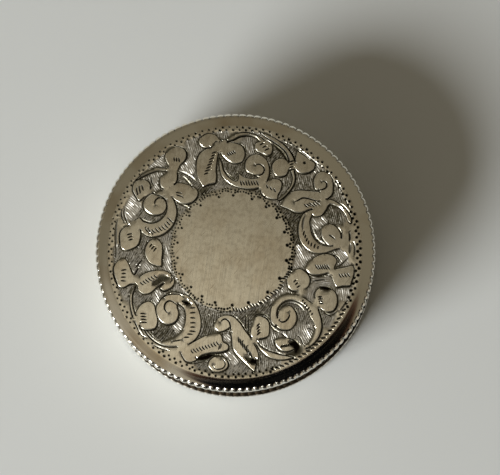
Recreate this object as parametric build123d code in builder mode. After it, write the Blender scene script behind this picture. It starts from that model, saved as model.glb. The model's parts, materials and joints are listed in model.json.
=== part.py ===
from build123d import *
import os

# Round silver pyx: a drum-shaped box with a slip-on lid, made of soldered sheet and milled wire.
# It stands on Z = 0 with +Z up its axis. All sizes are in millimetres and degrees.

# Walls of the box and the lid
wall_radius = 22.45
wall_thickness = 0.80
body_wall_height = 8.00
lid_wall_height = 4.00
seam_chamfer = 0.12

# Base plate
base_thickness = 0.90

# Lid plate: a crowned field for the engraving, then a plain shoulder that falls to the rim
lid_thickness = 0.80
lid_edge_thickness = 0.70
shoulder_width = 1.55
shoulder_rise = 0.45
shoulder_bulge = 0.06
crown_rise = 0.50

# Bezel collar, soldered inside the box, that the lid slips over
collar_thickness = 0.60
collar_depth = 4.00
collar_rise = 3.20
collar_lead = 0.25
slip_clearance = 0.05

# Milled wire, round the foot of the box and round the rim of the lid
wire_depth = 0.55
wire_height = 1.50
tooth_count = 116
tooth_depth = 0.30

# Radii and heights that follow from the sizes above
wall_inner_radius = wall_radius - wall_thickness
collar_inner_radius = wall_inner_radius - collar_thickness
lid_wall_inner_radius = wall_inner_radius + slip_clearance
field_radius = wall_radius - shoulder_width
crest_radius = wall_radius + wire_depth
valley_radius = crest_radius - tooth_depth
tooth_pitch = 360 / tooth_count
seam_height = base_thickness + body_wall_height
lid_seat_height = seam_height + lid_wall_height
rim_height = lid_seat_height + lid_edge_thickness
field_height = rim_height + shoulder_rise
crown_height = field_height + crown_rise

os.makedirs("parts", exist_ok=True)


def on_circle(radius, angle):
    """A point at a radius and an angle about the pyx's axis."""
    return Vector(radius, 0).rotate(Axis.Z, angle)


# Base plate: a flat disc of sheet that closes the box from below
with BuildPart() as base_plate:
    with BuildSketch():
        Circle(wall_radius)
    extrude(amount=base_thickness)

base_plate.part.label = "base_plate"
export_step(base_plate.part, "parts/base_plate.step")

# Body wall: a strip of sheet bent to a drum and soldered on the base plate
with BuildPart() as body_wall:
    with BuildSketch(Plane.XY.offset(base_thickness)):
        Circle(wall_radius)
        Circle(wall_inner_radius, mode=Mode.SUBTRACT)
    extrude(amount=body_wall_height)
    chamfer(body_wall.edges().group_by(Axis.Z)[-1].sort_by(SortBy.RADIUS)[-1], seam_chamfer)

body_wall.part.label = "body_wall"
export_step(body_wall.part, "parts/body_wall.step")

# Bezel collar: a thin band soldered inside the wall and standing proud of it
with BuildPart() as bezel_collar:
    with BuildSketch(Plane.XY.offset(seam_height - collar_depth)):
        Circle(wall_inner_radius)
        Circle(collar_inner_radius, mode=Mode.SUBTRACT)
    extrude(amount=collar_depth + collar_rise)
    chamfer(bezel_collar.edges().group_by(Axis.Z)[-1].sort_by(SortBy.RADIUS)[-1], collar_lead)

bezel_collar.part.label = "bezel_collar"
export_step(bezel_collar.part, "parts/bezel_collar.step")

# Lid wall: the lid's plain band, which slips over the collar and rests on the body wall
with BuildPart() as lid_wall:
    with BuildSketch(Plane.XY.offset(seam_height)):
        Circle(wall_radius)
        Circle(lid_wall_inner_radius, mode=Mode.SUBTRACT)
    extrude(amount=lid_wall_height)
    chamfer(lid_wall.edges().group_by(Axis.Z)[0].sort_by(SortBy.RADIUS)[-1], seam_chamfer)

lid_wall.part.label = "lid_wall"
export_step(lid_wall.part, "parts/lid_wall.step")

# Lid plate: raised sheet with a low crown, soldered on the lid wall's upper edge
with BuildPart() as lid_plate:
    with BuildSketch(Plane.XZ):
        with BuildLine():
            crown_top = (0, crown_height)
            field_edge = (field_radius, field_height)
            rim_edge = (wall_radius, rim_height)
            seat_edge = (lid_wall_inner_radius, lid_seat_height)
            inner_edge = (field_radius, field_height - lid_thickness)
            crown_under = (0, crown_height - lid_thickness)
            TangentArc(crown_top, field_edge, tangent=(1, 0))
            SagittaArc(field_edge, rim_edge, -shoulder_bulge)
            Polyline(rim_edge, (wall_radius, lid_seat_height), seat_edge, inner_edge)
            TangentArc(crown_under, inner_edge, tangent=(1, 0))
            Line(crown_under, crown_top)
        make_face()
    revolve(axis=Axis.Z)

lid_plate.part.label = "lid_plate"
export_step(lid_plate.part, "parts/lid_plate.step")

# Milled wires: half-round ridges side by side, soldered round the foot and round the lid's rim
wire_floors = {"base_milled_wire": 0, "lid_milled_wire": rim_height - wire_height}
for wire_name, wire_floor in wire_floors.items():
    with BuildPart() as milled_wire:
        with BuildSketch(Plane.XY.offset(wire_floor)):
            with BuildLine():
                for tooth in range(tooth_count):
                    crest_angle = tooth * tooth_pitch
                    ThreePointArc(
                        on_circle(valley_radius, crest_angle - tooth_pitch / 2),
                        on_circle(crest_radius, crest_angle),
                        on_circle(valley_radius, crest_angle + tooth_pitch / 2),
                    )
            make_face()
            Circle(wall_radius, mode=Mode.SUBTRACT)
        extrude(amount=wire_height)
    milled_wire.part.label = wire_name
    export_step(milled_wire.part, f"parts/{wire_name}.step")
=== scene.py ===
import json
import math

import bpy
import numpy as np
from mathutils import Matrix, Vector
from mathutils.geometry import delaunay_2d_cdt

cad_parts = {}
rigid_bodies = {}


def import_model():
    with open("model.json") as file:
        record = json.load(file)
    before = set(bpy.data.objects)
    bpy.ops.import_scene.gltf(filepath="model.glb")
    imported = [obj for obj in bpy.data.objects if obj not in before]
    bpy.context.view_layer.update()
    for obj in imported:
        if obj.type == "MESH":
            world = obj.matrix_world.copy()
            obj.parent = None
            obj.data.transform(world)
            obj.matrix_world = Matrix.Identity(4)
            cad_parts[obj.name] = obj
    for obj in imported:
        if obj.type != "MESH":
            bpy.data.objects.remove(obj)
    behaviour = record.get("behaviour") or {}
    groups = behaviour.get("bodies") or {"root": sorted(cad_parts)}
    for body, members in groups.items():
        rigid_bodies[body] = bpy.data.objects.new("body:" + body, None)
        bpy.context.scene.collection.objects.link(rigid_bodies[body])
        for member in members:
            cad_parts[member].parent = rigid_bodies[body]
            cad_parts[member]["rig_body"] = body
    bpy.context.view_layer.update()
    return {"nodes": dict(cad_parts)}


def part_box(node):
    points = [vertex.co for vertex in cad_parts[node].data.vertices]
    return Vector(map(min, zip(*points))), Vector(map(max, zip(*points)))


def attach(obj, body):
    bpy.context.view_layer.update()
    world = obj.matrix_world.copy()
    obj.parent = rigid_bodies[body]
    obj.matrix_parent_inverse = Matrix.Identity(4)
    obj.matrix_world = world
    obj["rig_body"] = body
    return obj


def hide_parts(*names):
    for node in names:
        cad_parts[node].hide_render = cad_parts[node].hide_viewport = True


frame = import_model()

# Base plate
# A flat disc of sterling sheet that closes the box from below. It was cut round, flattened and
# soldered under the wall. Its underside is scuffed by shelves, and its inside face is gilt.
# Sizes are in mm throughout; MM turns them to the frame's metres.
MM = 0.001
ROUND_COLUMNS = 696
base_edge_round = 0.12
level = 0.99
base_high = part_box("base_plate")[1]
wall_radius = base_high.x / MM
base_top = base_high.z / MM


def linear(hex_colour):
    """An sRGB hex colour as the linear values that shaders use."""
    shares = [int(hex_colour[i:i + 2], 16) / 255 for i in (1, 3, 5)]
    return [s / 12.92 if s <= 0.04045 else ((s + 0.055) / 1.055) ** 2.4 for s in shares] + [1]


def node(tree, kind, sockets=None, **settings):
    """Adds a node, sets its properties, and fills its sockets with values or other nodes' outputs."""
    made = tree.nodes.new("ShaderNode" + kind)
    for name, value in settings.items():
        setattr(made, name, value)
    for key, value in (sockets or {}).items():
        if isinstance(value, bpy.types.NodeSocket):
            tree.links.new(value, made.inputs[key])
        else:
            made.inputs[key].default_value = value
    return made


def metal(name):
    """A new material with a metallic shader; returns it with its node tree and its shader."""
    material = bpy.data.materials.new(name)
    material.use_nodes = True
    shader = material.node_tree.nodes["Principled BSDF"]
    shader.inputs["Metallic"].default_value = 1
    return material, material.node_tree, shader


def noise(tree, size, detail):
    """A cloudy 0 to 1 pattern, its clouds of that size in mm."""
    place = node(tree, "TexCoord").outputs["Object"]
    pattern = node(tree, "TexNoise", {"Vector": place, "Scale": 1 / (size * MM), "Detail": detail})
    return pattern.outputs["Fac"]


def ramp(tree, value, low, high, to_low=0.0, to_high=1.0):
    """A value's range from low to high, spread over another range and held at its ends."""
    return node(tree, "MapRange", {"Value": value, "From Min": low, "From Max": high,
                                   "To Min": to_low, "To Max": to_high}).outputs[0]


def combine(tree, kind, first, second):
    """One value from two, such as their maximum."""
    return node(tree, "Math", {0: first, 1: second}, operation=kind).outputs[0]


def mix(tree, share, start, end):
    """A colour between two, by a share; each of them is a hex colour or another node's output."""
    start, end = (linear(colour) if isinstance(colour, str) else colour for colour in (start, end))
    return node(tree, "Mix", {0: share, 6: start, 7: end}, data_type="RGBA").outputs[2]


def dress(tree, shader, tone, dull, pattern, strength, depth):
    """Gives a metal its colour, its dullness, and a fine relief from a pattern, its depth in mm."""
    relief = node(tree, "Bump", {"Height": pattern, "Strength": strength, "Distance": depth * MM})
    for socket, value in {"Base Color": tone, "Roughness": dull, "Normal": relief.outputs[0]}.items():
        tree.links.new(value, shader.inputs[socket])


def scratches(tree, across, along, angle=0.0, upright=False):
    """Fine scratches as a 0 to 1 pattern: a noise drawn out along one direction, sizes in mm."""
    place = node(tree, "TexCoord").outputs["Object"]
    stretch = (1 / (across * MM), 1 / (along * MM), 1 / (along * MM))
    if upright:
        stretch = (1 / (along * MM), 1 / (along * MM), 1 / (across * MM))
    turned_place = node(tree, "VectorRotate", {"Vector": place, "Angle": math.radians(angle)},
                        rotation_type="Z_AXIS").outputs[0]
    drawn = node(tree, "VectorMath", {0: turned_place, 1: stretch}, operation="MULTIPLY").outputs[0]
    return node(tree, "TexNoise", {"Vector": drawn, "Scale": 1, "Detail": 2}).outputs["Fac"]


def rounded(corners, steps=4):
    """A profile of (radius, height) points from corners given as (radius, height, rounding), in mm."""
    profile = []
    for i, (r, z, rounding) in enumerate(corners):
        corner = Vector((r, z))
        if not rounding:
            profile.append((r, z))
            continue
        before = (Vector(corners[i - 1][:2]) - corner).normalized()
        after = (Vector(corners[(i + 1) % len(corners)][:2]) - corner).normalized()
        half = before.angle(after) / 2
        centre = corner + (before + after).normalized() * rounding / math.sin(half)
        start = corner + before * rounding / math.tan(half) - centre
        end = corner + after * rounding / math.tan(half) - centre
        for step in range(steps + 1):
            arm = start.slerp(end, step / steps) * rounding
            profile.append((centre.x + arm.x, centre.y + arm.y))
    return profile


def turned(name, profile):
    """A closed mesh turned about the box's axis from a closed profile in mm; radius 0 is on the axis."""
    angles = np.linspace(0, 2 * math.pi, ROUND_COLUMNS, endpoint=False)
    points = []
    rings = []
    for r, z in profile:
        count = ROUND_COLUMNS if r > 0 else 1
        rings.append([len(points) + k for k in range(count)])
        points.extend((r * math.cos(a), r * math.sin(a), z) for a in angles[:count])
    faces = []
    for ring, following in zip(rings, rings[1:] + rings[:1]):
        for k in range(ROUND_COLUMNS):
            corners = [ring[k % len(ring)], ring[(k + 1) % len(ring)],
                       following[(k + 1) % len(following)], following[k % len(following)]]
            face = list(dict.fromkeys(corners))
            if len(face) > 2:
                faces.append(face)
    return solid(name, points, faces)


def solid(name, points, faces, sharp=18):
    """An object from points in mm and faces; edges that turn by more degrees than sharp stay crisp."""
    mesh = bpy.data.meshes.new(name)
    mesh.from_pydata((np.array(points) * MM).tolist(), [], faces)
    mesh.shade_smooth()
    mesh.set_sharp_from_angle(angle=math.radians(sharp))
    piece = bpy.data.objects.new(name, mesh)
    bpy.context.scene.collection.objects.link(piece)
    return piece


def fit(piece, stood_for, slot_name, *materials):
    """Gives a piece its finishes and puts it in the place of its CAD node."""
    for material in materials:
        piece.data.materials.append(material)
    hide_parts(stood_for)
    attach(piece, frame["nodes"][stood_for]["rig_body"])


# Scuffed sterling: rolled silver sheet, planished and then rubbed dull by use. It gives a soft warm
# mirror crossed by scratches in all directions, with brownish tarnish in clouds.
SILVER = "#EAE6D9"
TARNISH = "#B9A584"
scuffed_sterling, tree, shader = metal("scuffed_sterling")
veil = ramp(tree, noise(tree, size=7.0, detail=5), 0.42, 0.72)
tone = mix(tree, veil, SILVER, TARNISH)
scuffs = combine(tree, "MAXIMUM", scratches(tree, across=0.09, along=5.0, angle=24),
                 scratches(tree, across=0.12, along=7.0, angle=103))
dull = ramp(tree, scuffs, 0.5, 0.75, to_low=0.22, to_high=0.42)
dress(tree, shader, tone, dull, scuffs, strength=0.5, depth=0.02)

# Gilt sterling: silver with a thin coat of gold, burnished. It gives a pale warm mirror, with a
# rubbed, silvery look in patches where the gold has worn thin.
GOLD = "#DDB56B"
THIN_GOLD = "#E3CFA2"
gilt_sterling, tree, shader = metal("gilt_sterling")
rubbed = ramp(tree, noise(tree, size=3.5, detail=6), 0.5, 0.7)
tone = mix(tree, rubbed, GOLD, THIN_GOLD)
burnish = scratches(tree, across=0.06, along=4.0, angle=60)
dull = ramp(tree, burnish, 0.4, 0.75, to_low=0.2, to_high=0.36)
dress(tree, shader, tone, dull, burnish, strength=0.35, depth=0.012)

base_disc = turned("base_disc", rounded([
    (0, 0, 0), (wall_radius, 0, base_edge_round),
    (wall_radius, base_top, base_edge_round), (0, base_top, 0)]))
fit(base_disc, "base_plate", "base_silver", scuffed_sterling, gilt_sterling)
for face in base_disc.data.polygons:
    face.material_index = int(face.normal.z > level)

# Body wall
# A strip of sterling sheet bent to a drum, its ends soldered, and the drum soldered on the base
# plate. Polished outside and gilt inside; its upper edge is broken to a fine bevel for the lid's seam.
wall_edge_round = 0.06
wall_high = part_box("body_wall")[1]
seam_height = wall_high.z / MM
seam_bevel = 0.12
wall_thickness = 0.80

# Polished sterling: buffed round and round on a wheel. It gives a clear warm mirror with hair-fine
# lines running round the drum and faint clouds of tarnish.
polished_sterling, tree, shader = metal("polished_sterling")
veil = ramp(tree, noise(tree, size=9.0, detail=4), 0.45, 0.8)
tone = mix(tree, veil, SILVER, TARNISH)
buffing = scratches(tree, across=0.07, along=9.0, upright=True)
dull = ramp(tree, buffing, 0.35, 0.8, to_low=0.08, to_high=0.2)
dress(tree, shader, tone, dull, buffing, strength=0.12, depth=0.01)


def gild_inside(piece):
    """Turns to gilt the faces of a ring that look towards the box's axis."""
    for face in piece.data.polygons:
        inward = face.normal.x * face.center.x + face.normal.y * face.center.y
        face.material_index = int(inward < -0.5 * math.hypot(face.center.x, face.center.y))


body_band = turned("body_band", rounded([
    (wall_radius, base_top, 0), (wall_radius, seam_height - seam_bevel, wall_edge_round),
    (wall_radius - seam_bevel, seam_height, wall_edge_round),
    (wall_radius - wall_thickness, seam_height, 0), (wall_radius - wall_thickness, base_top, 0)]))
fit(body_band, "body_wall", "wall_silver", polished_sterling, gilt_sterling)
gild_inside(body_band)

# Base milled wire
# Silver wire rolled between knurled wheels into upright half-round ridges, bent to a ring and
# soldered round the foot. The ridges' ends are bevelled, flatter on the left where a thumb rubs, and
# old polish is packed in the foot's grooves. The foot's upper ends and the lower half of each wire
# are painted dark, as painted shade.
tooth_count = 116
tooth_depth = 0.30
packed_depth = 0.06
columns_per_tooth = 12
shelf_share, shelf_slope = 0.40, 0.42
bevel_slope = 0.92
end_crown = 0.16
end_round = 0.25
thumb_side, thumb_wear = math.radians(165), 0.85
# Painted shade: how much darker the upper ends of each wire are painted, most on the foot, and how fast the
# lower half darkens towards the bottom.
foot_top_shade, rim_top_shade, low_half_shade = 2.5, 0.1, 0.9
foot_low, foot_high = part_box("base_milled_wire")
crest_radius = foot_high.x / MM
wire_height = (foot_high.z - foot_low.z) / MM

# Milled sterling: rolled ridges rubbed bright on their crests, grey-brown down in the grooves with old
# polish, and painted dark as painted shade on the foot's upper ends and the wires' lower halves. It
# gives a row of small bright beads from above and fine light and dark bars from the side.
GROOVE_POLISH_AND_SHADE = "#2E271D"
milled_sterling, tree, shader = metal("milled_sterling")
# This attribute holds old polish in the grooves and painted shade on the upper ends and lower halves.
polish_and_shade = node(tree, "Attribute", attribute_name="polish_and_shade").outputs["Fac"]
crust = noise(tree, size=0.8, detail=3)
stain_and_shade = ramp(tree, combine(tree, "MULTIPLY", polish_and_shade, crust), 0.12, 0.55)
tone = mix(tree, stain_and_shade, SILVER, GROOVE_POLISH_AND_SHADE)
dull = ramp(tree, stain_and_shade, 0, 1, to_low=0.14, to_high=0.6)
dress(tree, shader, tone, dull, crust, strength=0.2, depth=0.02)


def paint(piece, name, values):
    """Keeps a value at each point of a piece, for its material to read."""
    piece.data.attributes.new(name, "FLOAT", "POINT").data.foreach_set("value", values)


def milled_ring(name, floor, soil, groove_depth):
    """A ring of milled wire that stands on a height in mm, its upper ends painted that much darker, a
    painted shade.
    """
    columns = tooth_count * columns_per_tooth
    points = []
    polish_and_shade_shares = []
    for k in range(columns):
        angle = 2 * math.pi * k / columns
        across = 2 * ((k / columns_per_tooth + 0.5) % 1) - 1
        hollow = 1 - math.sqrt(max(0, 1 - across * across))
        radius = crest_radius - groove_depth * hollow
        depth = radius - wall_radius
        worn = thumb_wear * max(0, math.cos(angle - thumb_side)) ** 2
        crown = end_crown * (1 - worn) * across * across
        knee = wall_radius + shelf_share * depth
        knee_fall = crown + shelf_slope * (1 - worn) * shelf_share * depth
        fall = knee_fall + bevel_slope * (1 - shelf_share) * depth
        middle, top = floor + 0.5 * wire_height, floor + wire_height
        section = rounded([
            (wall_radius, floor + crown, 0), (knee, floor + knee_fall, end_round * depth),
            (radius, floor + fall, end_round * depth), (radius, top - fall, end_round * depth),
            (knee, top - knee_fall, end_round * depth), (wall_radius, top - crown, 0)], steps=3)
        points.extend((r * math.cos(angle), r * math.sin(angle), z) for r, z in section)
        ledge = top - (knee_fall + fall) / 2
        # Painted shade: the upper ends take the soil share and the lower half darkens towards the bottom;
        # the grooves hold old polish.
        polish_and_shade_shares.extend(max(soil * (z > ledge), hollow, low_half_shade * (middle - z)) for r, z in section)
    rows = len(section)
    faces = []
    for k in range(columns):
        here, there = k * rows, (k + 1) % columns * rows
        for i in range(rows):
            above = (i + 1) % rows
            faces.append((here + i, there + i, there + above, here + above))
    ring = solid(name, points, faces, sharp=35)
    paint(ring, "polish_and_shade", polish_and_shade_shares)
    return ring


foot_wire = milled_ring("foot_wire", foot_low.z / MM, foot_top_shade, packed_depth)
fit(foot_wire, "base_milled_wire", "milled_silver", milled_sterling)

# Bezel collar
# A thin band soldered inside the body wall and standing proud of it, so that the lid slips over it.
# Its outer lip is eased, and it is gilt, rubbed by the lid.
collar_lead = 0.25
lip_round = 0.12
collar_low, collar_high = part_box("bezel_collar")
collar_thickness = 0.60
collar_radius = wall_radius - wall_thickness
collar_band = turned("collar_band", rounded([
    (collar_radius, collar_low.z / MM, 0), (collar_radius, collar_high.z / MM - collar_lead, lip_round),
    (collar_radius - collar_lead, collar_high.z / MM, lip_round),
    (collar_radius - collar_thickness, collar_high.z / MM, 0),
    (collar_radius - collar_thickness, collar_low.z / MM, 0)]))
fit(collar_band, "bezel_collar", "collar_gilt", gilt_sterling)

# Lid wall
# The lid's plain band, made as the body wall is: bent strip, soldered, polished outside and gilt
# inside. It rests on the body wall, and the two fine bevels make the seam line.
slip_clearance = 0.05
rim_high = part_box("lid_wall")[1]
lid_seat = rim_high.z / MM
lid_inner_radius = collar_radius + slip_clearance
lid_band = turned("lid_band", rounded([
    (wall_radius - seam_bevel, seam_height, wall_edge_round),
    (wall_radius, seam_height + seam_bevel, wall_edge_round), (wall_radius, lid_seat, 0),
    (lid_inner_radius, lid_seat, 0), (lid_inner_radius, seam_height, 0)]))
fit(lid_band, "lid_wall", "wall_silver", polished_sterling, gilt_sterling)
gild_inside(lid_band)

# Lid plate
# Sterling sheet raised to a low crown with a plain polished shoulder, soldered on the lid wall. The
# field is cut by hand with a graver: leaf scrolls on a hatched ground, round a plain centre framed by
# punched dots, with two rows of dots at the border.
shoulder_width = 1.55
shoulder_rise = 0.45
shoulder_bulge = 0.06
crown_rise = 0.50
lid_thickness = 0.80
plate_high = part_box("lid_plate")[1]
crown_height = plate_high.z / MM
field_radius = wall_radius - shoulder_width
field_height = crown_height - crown_rise
rim_height = field_height - shoulder_rise
crown_radius = (field_radius ** 2 + crown_rise ** 2) / (2 * crown_rise)

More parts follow.
